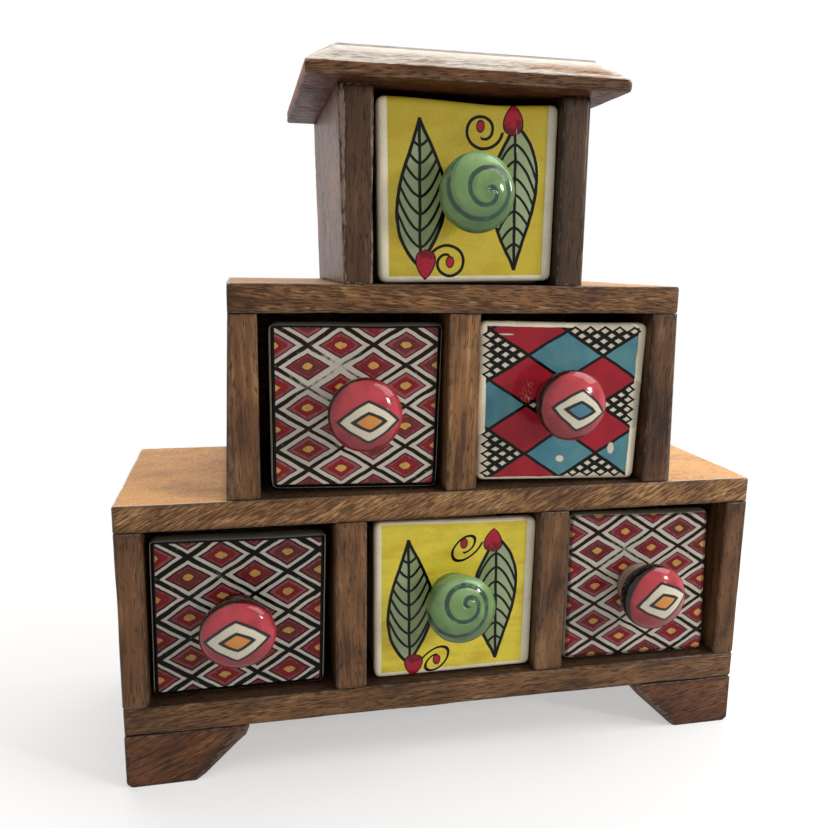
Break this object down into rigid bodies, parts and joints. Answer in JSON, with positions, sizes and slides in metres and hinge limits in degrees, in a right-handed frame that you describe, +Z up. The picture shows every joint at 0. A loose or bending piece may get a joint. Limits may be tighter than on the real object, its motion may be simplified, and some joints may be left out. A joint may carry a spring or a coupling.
{
  "type": "trinket drawer chest",
  "caption": "Stepped wooden trinket chest with glazed ceramic drawers and knobs that pull out of three tiers of bays.",
  "frame": {"origin": "on the floor, at the middle of the chest's whole outline", "axes": "+Z up, +X to the right as seen from the front, the drawers open towards -Y"},
  "size_m": [0.29, 0.124, 0.3085],
  "materials": {
    "chest_wood": "stained, waxed hardwood",
    "panel_wood": "thin stained board",
    "dowel_wood": "bare beech",
    "pin_steel": "dull steel",
    "lattice_ceramic": "cream glaze, painted lattice front",
    "leaf_ceramic": "cream glaze, yellow front with painted leaves",
    "harlequin_ceramic": "cream glaze, painted diamond front",
    "red_knob_ceramic": "glossy red glaze",
    "green_knob_ceramic": "glossy green glaze"
  },
  "bodies": {
    "carcass": {"base_board": "chest_wood", "lower_shelf_board": "chest_wood", "upper_shelf_board": "chest_wood", "lid": "chest_wood", "lower_left_wall": "chest_wood", "lower_left_divider": "chest_wood", "lower_right_divider": "chest_wood", "lower_right_wall": "chest_wood", "middle_left_wall": "chest_wood", "middle_divider": "chest_wood", "middle_right_wall": "chest_wood", "top_left_wall": "chest_wood", "top_right_wall": "chest_wood", "front_left_foot": "chest_wood", "front_right_foot": "chest_wood", "rear_left_foot": "chest_wood", "rear_right_foot": "chest_wood", "lower_back_panel": "panel_wood", "middle_back_panel": "panel_wood", "top_back_panel": "panel_wood", "foot_dowels": "dowel_wood", "base_board_dowels": "dowel_wood", "lower_shelf_under_dowels": "dowel_wood", "lower_shelf_top_dowels": "dowel_wood", "upper_shelf_under_dowels": "dowel_wood", "upper_shelf_top_dowels": "dowel_wood", "lid_dowels": "dowel_wood", "lower_panel_pins": "pin_steel", "middle_panel_pins": "pin_steel", "top_panel_pins": "pin_steel"},
    "lower_left_drawer_unit": {"lower_left_drawer": "lattice_ceramic", "lower_left_knob": "red_knob_ceramic"},
    "lower_middle_drawer_unit": {"lower_middle_drawer": "leaf_ceramic", "lower_middle_knob": "green_knob_ceramic"},
    "lower_right_drawer_unit": {"lower_right_drawer": "lattice_ceramic", "lower_right_knob": "red_knob_ceramic"},
    "middle_left_drawer_unit": {"middle_left_drawer": "lattice_ceramic", "middle_left_knob": "red_knob_ceramic"},
    "middle_right_drawer_unit": {"middle_right_drawer": "harlequin_ceramic", "middle_right_knob": "red_knob_ceramic"},
    "top_drawer_unit": {"top_drawer": "leaf_ceramic", "top_knob": "green_knob_ceramic"}
  },
  "joints": [
    {"name": "lower_left_drawer_slide", "type": "slide", "parent": "carcass", "child": "lower_left_drawer_unit", "axis": [0, -1, 0], "range_m": [0, 0.08]},
    {"name": "lower_middle_drawer_slide", "type": "slide", "parent": "carcass", "child": "lower_middle_drawer_unit", "axis": [0, -1, 0], "range_m": [0, 0.08]},
    {"name": "lower_right_drawer_slide", "type": "slide", "parent": "carcass", "child": "lower_right_drawer_unit", "axis": [0, -1, 0], "range_m": [0, 0.08]},
    {"name": "middle_left_drawer_slide", "type": "slide", "parent": "carcass", "child": "middle_left_drawer_unit", "axis": [0, -1, 0], "range_m": [0, 0.08]},
    {"name": "middle_right_drawer_slide", "type": "slide", "parent": "carcass", "child": "middle_right_drawer_unit", "axis": [0, -1, 0], "range_m": [0, 0.08]},
    {"name": "top_drawer_slide", "type": "slide", "parent": "carcass", "child": "top_drawer_unit", "axis": [0, -1, 0], "range_m": [0, 0.08]}
  ]
}
